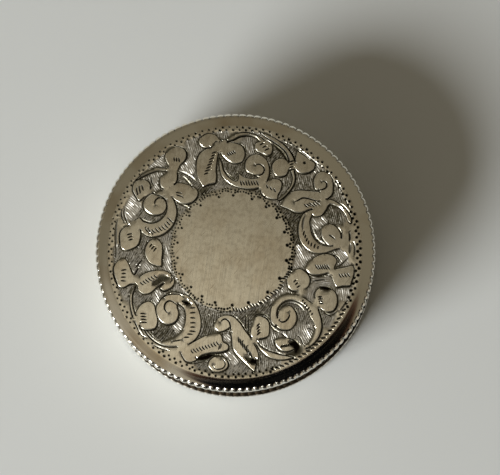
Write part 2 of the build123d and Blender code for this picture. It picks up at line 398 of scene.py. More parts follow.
# Leaves, petals and scroll arms, as outlines in mm from the lid's centre: a smooth curve goes
# through the points, and a point given twice is a corner.
figures = {
    "top_blade": [
        (-2.7, 17.3), (-4.2, 17.2), (-5.6, 16.5), (-6.3, 15.3), (-6.4, 13.6), (-6.1, 12.2), (-5.25, 10.6),
        (-5.25, 10.6), (-4.4, 11.0), (-3.2, 11.3), (-2.95, 12.3), (-3.05, 13.6), (-2.9, 15.2)],
    "top_cup": [
        (-6.0, 18.6), (-5.7, 17.6), (-4.8, 17.15), (-3.8, 17.35), (-3.2, 18.2), (-2.4, 18.1), (-2.0, 17.4),
        (-1.2, 17.9), (-1.5, 18.6), (-2.4, 18.5), (-3.2, 19.3), (-4.6, 19.6)],
    "top_petal": [
        (-2.6, 17.6), (-2.3, 16.2), (-1.8, 15.5), (-0.9, 14.8), (0.1, 14.5), (1.1, 14.8), (1.65, 15.7),
        (1.65, 16.7), (1.1, 17.6), (0.0, 18.0), (-1.2, 18.1)],
    "top_arch": [
        (-1.6, 18.4), (-0.4, 19.3), (1.2, 19.75), (2.8, 19.6), (4.2, 19.0), (4.9, 18.2), (4.2, 18.2),
        (3.4, 18.9), (2.2, 19.2), (0.8, 19.0), (-0.5, 18.4)],
    "top_right_leaf": [
        (3.2, 17.6), (3.5, 16.7), (4.4, 16.2), (5.4, 15.8), (6.1, 16.3), (6.2, 17.3), (5.7, 18.1),
        (4.8, 18.5), (3.8, 18.2)],
    "top_eye": [
        (2.7, 12.8), (2.0, 13.1), (1.6, 13.9), (1.7, 14.9), (2.3, 15.7), (3.3, 16.1), (4.4, 15.8),
        (5.3, 15.0), (5.7, 13.8), (5.7, 12.6), (5.2, 11.5), (4.4, 11.4), (3.9, 12.2), (3.3, 12.5)],
    "top_arm": [
        (-2.6, 15.6), (-2.6, 14.0), (-2.2, 12.6), (-1.2, 11.4), (0.2, 10.65), (2.0, 10.25), (3.4, 10.3),
        (4.4, 10.9), (5.0, 11.8), (4.5, 12.4), (3.4, 12.05), (2.3, 12.05), (1.2, 12.5), (0.5, 13.2),
        (0.5, 13.2), (0.6, 12.2), (0.2, 11.6), (-0.9, 12.2), (-1.8, 13.4), (-2.1, 14.6)],
    "stem_ribbon": [
        (4.0, 19.8), (5.5, 19.3), (7.0, 18.5), (8.4, 17.4), (9.4, 16.1), (9.9, 14.8), (9.8, 13.4),
        (9.95, 12.0), (9.6, 10.8), (8.6, 9.4), (7.4, 8.4), (7.1, 8.7), (8.1, 9.6), (9.1, 10.8),
        (9.4, 12.2), (9.1, 13.4), (8.9, 14.8), (8.7, 15.6), (8.2, 16.6), (7.2, 17.5), (6.2, 18.2),
        (5.2, 18.8)],
    "round_petal": [
        (6.0, 13.9), (6.3, 14.8), (7.1, 15.3), (8.1, 15.3), (8.8, 14.6), (8.9, 13.6), (8.5, 12.7),
        (7.6, 12.3), (6.6, 12.6)],
    "lower_petal": [
        (4.2, 9.9), (4.6, 10.8), (5.3, 11.6), (6.3, 12.0), (7.3, 11.9), (7.8, 11.2), (7.6, 10.2),
        (7.1, 9.3), (6.9, 8.6), (5.9, 8.6), (4.8, 9.0)],
    "dot_leaf": [
        (10.2, 16.8), (10.2, 16.8), (11.3, 16.0), (12.4, 15.1), (13.2, 14.5), (13.0, 13.6), (12.2, 13.0),
        (11.1, 12.8), (10.2, 13.2), (9.8, 14.2), (9.9, 15.4)],
    "curl_top": [
        (13.2, 10.2), (12.9, 11.0), (12.9, 11.9), (13.4, 12.8), (14.3, 13.2), (15.3, 12.9), (16.0, 12.0),
        (16.2, 10.8), (16.1, 9.6), (15.4, 8.8), (14.2, 8.4), (13.6, 9.2), (13.9, 9.9)],
    "s_leaf": [
        (7.4, 7.5), (7.4, 7.5), (8.2, 8.8), (9.3, 9.8), (10.7, 10.15), (12.2, 10.05), (13.6, 9.9),
        (15.0, 9.9), (15.6, 9.3), (15.4, 8.7), (14.4, 8.3), (14.3, 7.6), (13.0, 7.1), (11.9, 6.7),
        (10.9, 6.3), (9.8, 6.4), (8.8, 6.9)],
    "right_eye": [
        (14.1, 3.2), (14.3, 4.0), (15.1, 4.5), (16.1, 4.4), (16.9, 3.8), (17.4, 2.8), (17.3, 1.7),
        (16.6, 1.0), (15.4, 0.9), (14.7, 1.5), (14.2, 2.3)],
    "right_arm": [
        (12.9, 6.9), (11.6, 6.5), (10.8, 5.6), (10.35, 4.2), (10.4, 2.6), (10.9, 1.3), (11.9, 0.2),
        (13.2, -0.35), (14.8, -0.3), (16.2, 0.2), (17.6, 0.6), (18.6, 1.3), (18.8, 2.6), (18.4, 4.0),
        (17.6, 4.4), (17.5, 3.0), (17.0, 1.6), (15.6, 0.85), (14.2, 1.05), (13.2, 1.8), (12.6, 2.8),
        (12.4, 3.8), (12.3, 5.0), (12.7, 6.0)],
    "right_neck": [
        (12.8, 7.2), (14.2, 7.7), (15.4, 8.6), (17.0, 8.0), (18.3, 6.9), (19.1, 5.5), (19.0, 4.6),
        (18.5, 5.0), (18.0, 6.2), (17.0, 7.2), (15.6, 7.7), (15.0, 6.8), (14.2, 5.9), (13.2, 5.7),
        (12.6, 6.2)],
    "broad_leaf": [
        (11.6, -2.9), (11.9, -2.0), (12.8, -1.2), (13.8, -0.6), (15.0, -0.35), (16.1, -0.7), (16.7, -1.5),
        (16.4, -2.4), (15.9, -3.2), (14.6, -3.8), (13.3, -4.0), (12.2, -3.7)],
    "heart_petal": [
        (8.5, -5.1), (8.6, -4.2), (9.5, -3.3), (10.5, -2.9), (11.4, -3.2), (12.2, -4.1), (12.3, -5.1),
        (11.8, -6.0), (10.8, -6.5), (9.7, -6.6), (8.8, -6.1)],
    "edge_leaf": [
        (15.6, -3.3), (16.8, -2.8), (18.0, -2.6), (19.3, -2.4), (19.5, -3.6), (19.2, -4.8), (18.8, -5.7),
        (17.6, -5.8), (16.6, -5.9), (16.1, -5.0), (15.8, -4.2)],
    "kidney_petal": [
        (13.0, -7.3), (13.3, -6.4), (14.2, -5.9), (15.3, -6.0), (16.3, -6.6), (16.8, -7.7), (16.7, -8.9),
        (16.1, -9.8), (15.1, -10.0), (14.2, -9.6), (13.5, -8.8)],
    "lower_right_arm": [
        (5.9, -11.6), (5.75, -10.3), (6.1, -8.9), (7.0, -7.7), (8.3, -7.1), (9.8, -7.1), (11.2, -7.6),
        (12.4, -8.4), (13.4, -9.0), (13.8, -10.0), (14.2, -11.4), (14.2, -12.8), (13.6, -14.3),
        (12.5, -15.5), (11.4, -16.0), (11.4, -15.6), (12.3, -14.6), (12.9, -13.2), (12.9, -11.9),
        (12.2, -10.6), (11.8, -9.5), (10.8, -8.6), (9.5, -8.1), (8.2, -8.3), (7.2, -9.2), (6.9, -10.4),
        (7.1, -11.3), (6.6, -12.3)],
    "lower_right_eye": [
        (7.0, -10.4), (7.4, -9.5), (8.3, -8.95), (9.3, -9.1), (10.0, -10.0), (10.2, -11.1), (9.8, -12.1),
        (8.9, -12.9), (7.7, -12.9), (6.7, -12.3), (6.9, -11.4)],
    "square_leaf": [
        (2.5, -13.4), (2.8, -12.1), (3.1, -11.1), (3.9, -10.6), (5.0, -10.9), (5.6, -11.6), (5.7, -12.6),
        (5.5, -13.8), (4.7, -14.3), (3.5, -14.4), (2.8, -14.2)],
    "crescent_leaf": [
        (3.4, -14.5), (4.2, -15.5), (5.6, -16.35), (7.2, -16.9), (9.6, -17.4), (7.6, -17.85), (5.6, -17.4),
        (4.3, -16.4), (3.6, -15.4)],
    "small_leaf": [
        (6.4, -14.7), (7.4, -14.2), (8.8, -14.3), (9.9, -14.7), (10.2, -15.6), (9.4, -16.2), (8.2, -16.5),
        (7.1, -16.0)],
    "long_leaf": [
        (-1.0, -12.9), (-0.6, -13.8), (-0.5, -15.2), (-0.2, -16.3), (0.6, -17.3), (1.9, -18.6),
        (3.2, -19.8), (3.2, -19.8), (3.6, -18.2), (3.9, -17.2), (3.6, -16.1), (3.0, -15.0), (2.4, -13.9),
        (1.6, -12.8), (0.8, -11.6), (-0.2, -10.7), (-1.3, -10.45), (-2.5, -10.8), (-3.3, -11.7),
        (-3.3, -12.6), (-2.6, -13.2), (-1.8, -13.1), (-0.9, -12.6)],
    "ladder_leaf": [
        (-8.9, -16.2), (-7.6, -15.3), (-6.0, -14.4), (-4.5, -13.7), (-3.0, -13.4), (-2.2, -13.8),
        (-1.9, -14.8), (-1.0, -15.4), (-1.2, -16.2), (-2.3, -16.6), (-4.0, -16.7), (-5.5, -17.1),
        (-6.4, -17.9), (-7.3, -18.2), (-8.3, -17.7)],
    "bottom_curl": [
        (-4.4, -18.7), (-4.2, -17.9), (-3.4, -17.3), (-2.3, -17.2), (-1.4, -17.7), (-1.0, -18.6),
        (-1.5, -19.4), (-2.5, -19.8), (-3.5, -19.7), (-4.1, -19.2)],
    "lower_left_eye": [
        (-12.9, -9.3), (-12.7, -10.5), (-12.2, -11.4), (-11.2, -12.0), (-10.2, -11.9), (-9.4, -11.2),
        (-9.1, -10.1), (-9.4, -9.1), (-9.0, -8.2), (-8.2, -8.6), (-7.4, -8.4), (-8.3, -7.2), (-9.4, -6.7),
        (-10.6, -6.7), (-11.7, -7.4), (-12.5, -8.4)],
    "lower_left_arm": [
        (-9.3, -8.4), (-8.5, -7.1), (-7.4, -7.4), (-6.4, -8.6), (-5.75, -10.1), (-5.5, -11.7),
        (-5.7, -13.2), (-6.5, -14.5), (-7.8, -15.3), (-9.2, -15.6), (-11.0, -15.6), (-12.6, -15.1),
        (-14.0, -14.0), (-14.7, -13.0), (-14.2, -13.1), (-13.3, -14.1), (-12.0, -14.7), (-10.4, -14.3),
        (-9.1, -13.5), (-8.3, -12.2), (-8.1, -10.6), (-8.4, -9.3)],
    "drum_petal": [
        (-16.1, -9.7), (-15.3, -8.6), (-14.1, -8.1), (-13.2, -8.7), (-12.9, -10.0), (-12.6, -11.5),
        (-13.0, -12.6), (-14.0, -12.9), (-15.2, -12.7), (-16.0, -11.6), (-16.3, -10.6)],
    "left_ribbon": [
        (-16.2, -5.6), (-16.7, -7.0), (-16.7, -8.6), (-16.3, -10.2), (-15.7, -11.8), (-15.2, -13.0),
        (-14.4, -14.2), (-15.3, -13.6), (-16.2, -12.0), (-16.9, -10.2), (-17.2, -8.4), (-17.1, -6.7)],
    "fold_leaf": [
        (-16.0, -5.6), (-16.3, -4.9), (-15.7, -4.2), (-14.7, -3.5), (-13.2, -3.1), (-11.7, -3.1),
        (-10.5, -3.7), (-9.9, -4.6), (-10.0, -5.5), (-10.7, -6.2), (-11.6, -6.5), (-12.3, -6.0),
        (-11.6, -5.2), (-12.6, -5.8), (-13.8, -6.8), (-14.9, -7.0), (-15.8, -6.4)],
    "left_leaf": [
        (-19.9, -2.4), (-19.0, -1.3), (-18.1, -1.1), (-17.4, -2.0), (-16.9, -3.2), (-16.4, -4.2),
        (-16.3, -5.2), (-17.2, -5.4), (-18.2, -5.9), (-19.0, -5.7), (-19.5, -4.6), (-19.9, -3.5)],
    "left_petal": [
        (-14.8, -0.3), (-14.7, 0.8), (-14.0, 1.8), (-12.9, 2.1), (-12.0, 1.3), (-11.8, 0.0),
        (-11.9, -1.3), (-12.0, -2.4), (-13.0, -2.3), (-14.1, -1.7)],
    "left_round": [
        (-19.0, 2.7), (-18.6, 3.7), (-17.6, 4.3), (-16.4, 4.6), (-15.6, 3.9), (-15.4, 2.6), (-15.8, 1.2),
        (-16.8, 0.5), (-18.0, 0.2), (-18.8, 0.9)],
    "upper_left_arm": [
        (-17.0, 4.4), (-15.8, 5.6), (-14.8, 4.9), (-13.6, 4.7), (-12.3, 5.2), (-11.3, 6.5), (-11.2, 8.0),
        (-12.0, 9.1), (-13.2, 9.5), (-12.2, 10.1), (-10.9, 9.5), (-10.0, 8.5), (-9.5, 7.0), (-9.6, 5.5),
        (-10.4, 3.9), (-12.0, 2.7), (-13.8, 2.4), (-15.2, 3.1), (-15.9, 4.0)],
    "upper_left_eye": [
        (-12.3, 6.1), (-13.5, 6.0), (-14.6, 6.6), (-15.1, 7.6), (-14.9, 8.7), (-14.0, 9.5), (-12.8, 9.4),
        (-11.6, 8.8), (-11.2, 7.7), (-11.5, 6.7)],
    "tick_leaf": [
        (-16.9, 10.4), (-16.5, 11.6), (-15.4, 12.0), (-14.3, 11.7), (-13.8, 10.9), (-14.0, 10.1),
        (-13.4, 9.7), (-14.6, 9.3), (-15.7, 8.4), (-16.4, 9.2)],
    "bud": [
        (-12.4, 11.3), (-12.3, 12.3), (-11.5, 12.9), (-10.5, 13.6), (-9.6, 13.4), (-9.4, 12.4),
        (-9.7, 11.4), (-10.6, 10.6), (-11.3, 10.3), (-12.1, 10.6)],
    "plum_petal": [
        (-10.9, 10.4), (-10.0, 11.2), (-8.9, 11.4), (-7.6, 11.0), (-6.4, 10.4), (-6.0, 9.6), (-6.4, 8.6),
        (-7.4, 7.9), (-8.7, 7.9), (-9.7, 8.4), (-10.6, 9.4)],
    "upper_petal": [
        (-11.6, 15.7), (-11.2, 16.6), (-10.3, 17.3), (-9.2, 17.4), (-8.2, 16.9), (-7.9, 15.9),
        (-8.3, 15.0), (-9.0, 14.3), (-9.5, 13.4), (-10.4, 13.4), (-11.0, 14.3)],
    "upper_left_stem": [
        (-11.2, 13.3), (-12.5, 13.4), (-13.9, 13.0), (-15.2, 12.4), (-16.4, 11.8), (-15.2, 12.9),
        (-13.7, 13.7), (-12.3, 13.9), (-11.0, 13.8)],
}

# Single cuts of the graver, as open curves in mm, by the width of the cut. They are the volutes'
# spirals, the veins of leaves and the slivers that fill the gaps along the border.
hair, fine, vein, medium, bold = 0.17, 0.30, 0.34, 0.40, 0.48
cuts = [
    (vein, [(3.0, 14.0), (3.5, 14.35), (4.1, 14.4), (4.65, 14.0), (4.8, 13.4), (4.5, 12.85), (3.8, 12.6),
              (2.7, 12.8)]),
    (vein, [(14.0, 11.3), (14.5, 11.6), (15.0, 11.3), (14.95, 10.6), (14.3, 10.2), (13.5, 10.15)]),
    (vein, [(9.4, 8.0), (10.3, 8.4), (11.1, 8.8), (12.1, 8.7), (13.1, 8.4), (14.2, 8.2)]),
    (vein, [(15.3, 2.75), (15.9, 2.4), (16.5, 1.9)]),
    (vein, [(8.7, -9.9), (8.9, -10.4), (8.7, -11.0), (8.2, -11.5), (7.6, -11.6), (7.1, -11.2)]),
    (vein, [(-2.4, -12.0), (-2.2, -11.4), (-1.6, -11.1), (-1.0, -11.5), (-0.75, -12.3), (-0.6, -13.5)]),
    (fine, [(-2.5, -17.4), (-1.8, -17.9), (-1.6, -18.6), (-2.1, -19.2), (-3.0, -19.3), (-3.6, -18.8),
            (-3.5, -18.2)]),
    (vein, [(-10.5, -10.3), (-11.2, -9.9), (-11.55, -9.2), (-11.3, -8.4), (-10.6, -8.1), (-9.8, -8.5),
              (-9.4, -9.1)]),
    (vein, [(-13.0, 7.5), (-13.2, 8.0), (-13.0, 8.6), (-12.4, 8.95), (-11.7, 8.7), (-11.3, 8.1)]),
    (hair, [(8.2, 18.7), (10.5, 17.0), (13.2, 14.8), (14.6, 13.8), (15.4, 13.3)]),
    (bold, [(12.6, 4.3), (12.85, 3.0), (13.5, 1.9), (14.5, 1.2), (15.5, 0.95)]),
    (medium, [(-15.7, 5.75), (-14.7, 5.05), (-13.5, 4.8), (-12.3, 5.3), (-11.5, 6.4)]),
    (medium, [(-15.2, 7.2), (-15.1, 8.3), (-14.3, 9.3), (-13.2, 9.75)]),
    (hair, [(-2.0, 13.9), (-1.2, 12.8), (0.1, 11.95)]),
    (bold, [(-9.3, 13.4), (-7.8, 12.7), (-6.3, 11.6)]),
    (medium, [(-8.7, 12.6), (-7.7, 11.5), (-6.7, 10.2)]),
    (bold, [(-9.6, 8.1), (-8.6, 7.7), (-7.4, 7.1)]),
    (vein, [(-20.1, -3.5), (-19.65, -4.6), (-19.1, -5.9)]),
    (medium, [(-8.9, -16.4), (-8.2, -17.9), (-7.0, -18.35), (-5.3, -18.05), (-4.3, -17.6)]),
    (bold, [(3.4, -14.4), (4.2, -15.5), (5.5, -16.3), (7.0, -16.7), (8.1, -16.9)]),
    (medium, [(-13.6, -15.2), (-12.0, -15.9), (-10.6, -16.3)]),
    (fine, [(-10.4, -3.9), (-10.3, -4.7), (-10.7, -5.1)]),
    (bold, [(18.9, 1.4), (18.8, 0.4), (18.7, -0.5)]),
    (medium, [(19.4, 1.7), (19.6, 0.6), (19.5, -1.0)]),
    (medium, [(-18.1, 7.6), (-18.2, 6.2), (-17.6, 4.7), (-17.1, 4.3)]),
    (fine, [(-18.7, 7.2), (-18.6, 5.8), (-18.0, 4.6)]),
    (bold, [(-19.2, 5.8), (-19.55, 4.2), (-19.6, 2.2), (-19.5, 0.2), (-19.7, -1.5)]),
    (medium, [(16.6, 11.8), (17.0, 10.9), (17.6, 9.9)]),
    (medium, [(18.1, 8.9), (18.4, 7.9), (19.0, 6.9)]),
    (fine, [(-13.8, 12.4), (-13.7, 11.6), (-13.3, 10.9)]),
    (fine, [(-2.5, 18.75), (-2.1, 18.1)]),
    (fine, [(-12.0, -7.9), (-11.2, -7.2), (-10.0, -7.0), (-9.0, -7.1), (-8.1, -7.7)]),
    (fine, [(-10.5, -14.8), (-8.45, -14.46)]),
    (bold, [(-2.13, -14.94), (-2.7, -16.2)]),
    (fine, [(-15.1, -1.2), (-16.4, -2.7)]),
    (vein, [(-15.8, -2.6), (-16.6, -4.0)]),
    (fine, [(15.9, -0.37), (16.9, -1.06), (17.3, -1.75)]),
    (medium, [(18.65, -0.92), (17.4, -2.16), (16.3, -2.7)]),
    (medium, [(13.3, -4.2), (14.9, -4.15)]),
    (fine, [(12.7, -4.9), (14.8, -4.6)]),
    (medium, [(14.25, -9.6), (15.2, -10.4), (16.0, -10.4), (17.0, -9.6)]),
    (fine, [(14.5, -10.1), (15.9, -10.8)]),
    (medium, [(17.0, -10.0), (18.5, -7.9)]),
    (medium, [(5.9, -12.2), (6.4, -12.9), (7.4, -13.4)]),
    (bold, [(7.5, -13.4), (8.6, -14.25)]),
    (fine, [(6.5, -14.5), (6.7, -15.6), (7.5, -16.6)]),
    (fine, [(10.1, -13.7), (10.7, -14.25), (11.1, -15.2), (11.5, -15.35)]),
    (fine, [(11.8, -12.6), (12.9, -12.9)]),
    (fine, [(2.3, -10.7), (2.2, -12.9), (2.4, -13.8)]),
    (fine, [(1.8, -10.3), (1.75, -12.2), (2.2, -13.4)]),
    (fine, [(3.0, -10.8), (3.8, -10.3), (5.0, -10.5), (5.6, -11.1)]),
    (fine, [(4.15, -17.1), (4.3, -18.4)]),
    (medium, [(11.6, 6.1), (11.2, 5.2), (11.05, 4.2), (11.1, 3.4)]),
    (bold, [(15.5, 7.76), (17.3, 7.07), (18.2, 5.3)]),
    (bold, [(7.2, -9.7), (7.9, -8.95), (9.0, -8.5), (10.4, -8.9), (11.4, -9.9)]),
]

# Rows of short strokes that shade the leaves: the line that the row follows, how many strokes, the
# way they lean in degrees from +X, and their length in mm.
stroke_rows = [
    ([(-3.4, 16.4), (-4.7, 12.9)], 8, 22, 1.1),
    ([(-1.1, 16.1), (-0.1, 16.5)], 4, 125, 0.8),
    ([(4.4, 17.8), (5.3, 16.9)], 3, 25, 1.1),
    ([(1.0, 11.3), (3.7, 11.3)], 7, 108, 1.05),
    ([(9.3, 13.5), (9.35, 14.9)], 4, 15, 1.0),
    ([(5.3, 10.7), (6.5, 10.1)], 3, 112, 0.9),
    ([(11.7, 7.5), (13.6, 7.9)], 5, 146, 1.25),
    ([(11.3, 3.0), (12.1, 1.4), (13.6, 0.65)], 7, 72, 0.9),
    ([(13.4, -2.6), (15.3, -2.6)], 6, 116, 1.15),
    ([(9.8, -4.9), (10.4, -5.8)], 3, 45, 0.8),
    ([(17.2, -4.0), (18.6, -3.9)], 4, 125, 0.9),
    ([(13.9, -7.5), (14.1, -8.6)], 4, 0, 1.0),
    ([(11.1, -8.1), (12.6, -10.3)], 6, 60, 0.65),
    ([(3.8, -12.1), (3.9, -13.5)], 4, 42, 0.9),
    ([(7.6, -15.6), (9.0, -15.4)], 5, 50, 0.85),
    ([(0.6, -14.5), (2.7, -17.0)], 7, 100, 1.4),
    ([(-7.0, -16.4), (-2.8, -15.1)], 10, 128, 0.9),
    ([(-6.9, -9.3), (-6.9, -12.9), (-7.3, -13.55), (-7.9, -14.1)], 8, 0, 1.15),
    ([(-15.0, -10.2), (-14.9, -11.65)], 4, 0, 1.2),
    ([(-15.25, -5.25), (-13.0, -4.1)], 6, 142, 0.95),
    ([(-18.2, -3.0), (-18.3, -4.8)], 4, 0, 1.0),
    ([(-13.8, 1.0), (-13.1, 0.35)], 3, 52, 1.0),
    ([(-17.3, 2.9), (-17.1, 2.0)], 3, 18, 1.1),
    ([(-14.4, 3.5), (-13.4, 3.35), (-12.4, 3.7), (-11.4, 4.1), (-10.6, 5.2)], 9, 132, 1.25),
    ([(-16.1, 10.0), (-15.2, 10.6)], 3, 108, 1.35),
    ([(-9.2, 9.7), (-9.1, 9.2)], 2, -12, 1.2),
    ([(-10.0, 15.3), (-9.2, 15.2)], 3, 98, 0.8),
]
stroke_width = 0.31

# Hollows scraped deep between folds of the leaves, as closed outlines in mm. They are painted near black,
# old polish and a painted shade.
hollows = [
    [(-13.46, -5.46), (-13.26, -4.91), (-12.57, -4.36), (-11.6, -4.0), (-10.65, -4.2), (-11.3, -4.6),
     (-12.15, -5.05), (-12.98, -5.53)],
    [(-8.72, -8.07), (-7.9, -7.93), (-7.2, -8.48), (-7.76, -8.9), (-8.45, -8.5)],
    [(8.8, -15.1), (9.3, -14.6), (10.1, -14.7), (10.7, -15.4), (10.8, -16.4), (10.1, -16.9), (9.0, -17.1),
     (8.2, -17.0), (9.1, -16.6), (9.7, -16.1), (9.3, -15.7)],
    [(13.7, -5.95), (14.4, -5.7), (15.3, -5.8), (15.9, -6.25), (15.1, -6.5), (14.3, -6.35)],
    [(1.7, -17.5), (2.7, -17.4), (3.7, -17.7), (3.4, -18.5), (2.4, -18.4)],
    [(6.2, 17.9), (7.4, 17.1), (8.3, 16.0), (8.7, 15.0), (8.2, 15.3), (7.6, 16.2), (6.8, 17.0)],
    [(-6.4, -17.6), (-5.0, -16.95), (-3.5, -16.75), (-1.8, -17.1), (-3.4, -17.15), (-4.4, -17.7),
     (-5.4, -17.9)],
]

# Dots set with a round punch: a ring of large ones framing the plain centre, at the angles where
# the maker set them, scallops of tiny ones between those, and two staggered rows at the border. The
# dots are smaller and paler where wear has reached them, away from the unworn side.
frame_centre = np.array([-0.45, 0.21])
frame_radius = 9.05
frame_angles = (5, 19, 36, 52, 69, 89, 104, 125, 141, 156, 172, 188, 206, 222, 237, 252, 270, 287, 310,
                329, 349)
large_dot, tiny_dot, border_dot = 0.225, 0.165, 0.195
punch_slope, punch_soil = 1.3, 1.5
fresh_size, worn_off, soil_worn_off = 1.14, 0.28, 0.45
scallop_start, scallop_step, scallop_bulge = 0.38, 0.46, 0.5
scallop_jitter = 0.05
leaf_dot = np.array([11.4, 14.65])
border_centre = np.array([-0.1, 0.05])
border_radii = (20.16, 20.62)
border_count = 115
border_clear = 0.15
border_jitter, border_turn_jitter = 0.03, 0.003
unworn_side = math.radians(340)

# At the lower right slanted dashes stand for the dots: their length, width and shift outwards in mm
# and their lean from the radius in degrees, and the angles that their run goes from and to. Border
# dashes are border_dash_step degrees apart.
border_dash = {"length": 1.05, "width": 0.42, "shift": 0.2, "lean": 54}
border_run = (288, 333)
border_dash_step = 2.3
frame_dash = {"length": 0.9, "width": 0.38, "shift": 0.15, "lean": 25}
frame_run = (268, 342)
dash_slope, dash_soil = 1.0, 1.4
dash_points = 5

# The gaps between leaves are hatched with fine parallel cuts, each gap in its own direction: a
# place in the gap, in mm, the direction in degrees from +X, and how much soil it holds. Along the
# leaves the ground is painted darker, a painted shade. The cuts are hatch_pitch apart; they sway,
# and fade and strengthen along their length. The real ones are finer still; they are drawn this
# coarse so that they show.
edge_shade, edge_reach = 0.4, 0.55
hatch_pitch, hatch_spacing, hatch_reach = 0.32, 0.2, 6
hatch_lengths, hatch_strengths = (1.2, 3.0), (0.4, 1.1)
hatch_fade, hatch_wander, hatch_grain = 0.4, 0.02, 0.12
hatch_sway, sway_turn = 0.15, 0.9
hatch_start, hatch_end, least_share = 10.2, 20.0, 0.3
hatch_depth, ground_depth, ground_bevel = 0.09, 0.08, 0.10
hatch_patches = [
    (-17.2, 7.6, 132, 0.0), (-14.8, 5.7, 50, 0.25), (-12.4, 5.6, 50, 0.3), (-13.0, 14.8, 135, 0.1),
    (-13.2, 11.8, 120, 0.15), (-7.0, 17.6, 100, 0.2), (-7.0, 13.9, 125, 0.05), (-7.3, 11.9, 40, 0.3),
    (-8.4, 6.3, 80, 0.2), (-5.0, 9.7, 60, 0.5), (-7.2, 7.6, 60, 0.45), (-10.6, 2.0, 70, 0.15),
    (-10.9, 0.3, 110, 0.0), (-15.2, 0.8, 60, 0.28), (-17.4, -0.5, 60, 0.22), (-2.3, 19.4, 100, 0.2),
    (-0.6, 13.4, 60, 0.36), (-2.3, 11.0, 60, 0.2), (2.6, 17.6, 100, 0.2), (7.2, 16.8, 45, 0.45),
    (6.2, 15.6, 45, 0.4), (1.4, 13.3, 60, 0.4), (8.4, 11.8, 95, 0.35), (11.4, 11.3, 95, 0.35),
    (8.3, 9.5, 60, 0.05), (9.2, 5.5, 40, 0.5), (10.0, 3.0, 60, 0.5), (16.3, 6.3, 110, 0.42),
    (13.5, 4.6, 128, 0.0), (13.5, 2.7, 60, 0.35), (17.3, 9.8, 100, 0.25), (9.2, 17.6, 40, 0.35),
    (13.6, 13.9, 120, 0.05), (11.4, -0.7, 125, 0.0), (17.4, -1.3, 125, 0.0), (14.2, -4.9, 165, 0.15),
    (18.2, -6.9, 105, 0.05), (12.3, -6.6, 70, 0.05), (6.6, -6.8, 115, 0.1), (4.6, -9.0, 60, 0.4),
    (1.3, -9.9, 50, 0.36), (10.8, -10.6, 80, 0.28), (11.8, -13.6, 112, 0.1), (10.0, -13.3, 80, 0.2),
    (15.4, -11.2, 70, 0.2), (5.2, -15.2, 110, 0.25), (5.6, -18.4, 95, 0.25), (-0.2, -17.4, 130, 0.0),
    (0.8, -19.3, 60, 0.2), (-15.9, -1.6, 60, 0.2), (-14.0, -2.6, 130, 0.15), (-14.6, -7.5, 45, 0.25),
    (-12.6, -6.9, 125, 0.15), (-11.8, -13.2, 45, 0.45), (-8.9, -11.4, 128, 0.0), (-4.4, -11.3, 75, 0.4),
    (-4.9, -9.8, 75, 0.3), (-5.2, -19.1, 50, 0.3), (-1.0, -17.2, 130, 0.0), (-10.3, -5.4, 85, 0.1),
    (-10.9, -2.2, 110, 0.0), (-18.7, -7.0, 60, 0.1),
]

# Places in mm round the border that were left plain, and the stems where leaves grow out of each
# other with no cut between them, each a place and a radius in mm.
plain_places = [
    (-19.4, 3.6), (-18.6, 8.4), (-17.6, 11.0), (-15.9, 13.4), (-11.5, 18.0), (-9.6, 18.3), (-15.0, 9.6),
    (0.3, 20.0), (12.2, 17.0), (14.6, 14.6), (18.8, 7.0), (19.0, 3.0), (18.4, 1.2), (6.5, 19.3),
    (19.5, -0.6), (19.6, -4.0), (17.8, -9.6), (16.6, -11.8), (14.4, -14.0), (12.6, -16.2), (9.2, -18.0),
    (-17.8, -10.4), (-15.8, -13.6), (-13.2, -15.9), (-9.8, -17.3), (-7.6, -18.9), (-19.6, -5.2),
    (-19.2, -8.8),
]
plain_fade = 0.6
stems = [
    (-11.0, 9.8, 0.8), (-10.3, 13.5, 0.7), (-14.4, 9.8, 0.6), (-16.5, 4.3, 0.7), (-2.7, 17.3, 0.8),
    (4.7, 10.9, 0.7), (14.2, 7.9, 0.9), (13.6, 6.6, 0.7), (9.4, 14.2, 0.6), (18.2, 0.9, 0.9),
    (18.2, 3.8, 0.7), (11.0, -6.8, 0.6), (15.9, -3.4, 0.5), (13.5, -8.5, 0.7), (-16.4, -4.5, 0.6),
    (-8.4, -15.7, 0.8), (-16.2, -11.0, 0.4), (10.9, -15.9, 0.4), (3.3, -14.6, 0.5),
]
stem_fade = 0.3
rng = np.random.default_rng(46)


def curve(points, closed, spacing):
    """Places along a smooth curve through given points, about that far apart, in mm."""
    points = [np.array(p, float) for p in points]
    corner = [i for i in range(len(points)) if closed and np.allclose(points[i], points[i - 1])]
    if corner:
        points = points[corner[0]:] + points[:corner[0]]
    if closed and not corner:
        around = [points[-1], *points, points[0], points[1]]
    else:
        around = [2 * points[0] - points[1], *points, 2 * points[-1] - points[-2]]
    places = []
    for before, start, end, after in zip(around, around[1:], around[2:], around[3:]):
        count = max(1, math.ceil(np.linalg.norm(end - start) / spacing))
        for t in np.arange(count) / count:
            places.append(0.5 * (2 * start + (end - before) * t
                                 + (2 * before - 5 * start + 4 * end - after) * t ** 2
                                 + (3 * start - before - 3 * end + after) * t ** 3))
    places.append(around[-2])
    return np.array(places)


def nearest(track, places):
    """Distance from each place to a track, in mm, and where along the track that is, from 0 to 1."""
    start, run = track[:-1], np.diff(track, axis=0)
    offset = places[:, None] - start
    share = np.clip((offset * run).sum(2) / (run * run).sum(1), 0, 1)
    distance = np.linalg.norm(offset - share[..., None] * run, axis=2)
    segment = distance.argmin(1)
    rows = np.arange(len(places))
    return distance[rows, segment], (segment + share[rows, segment]) / len(run)


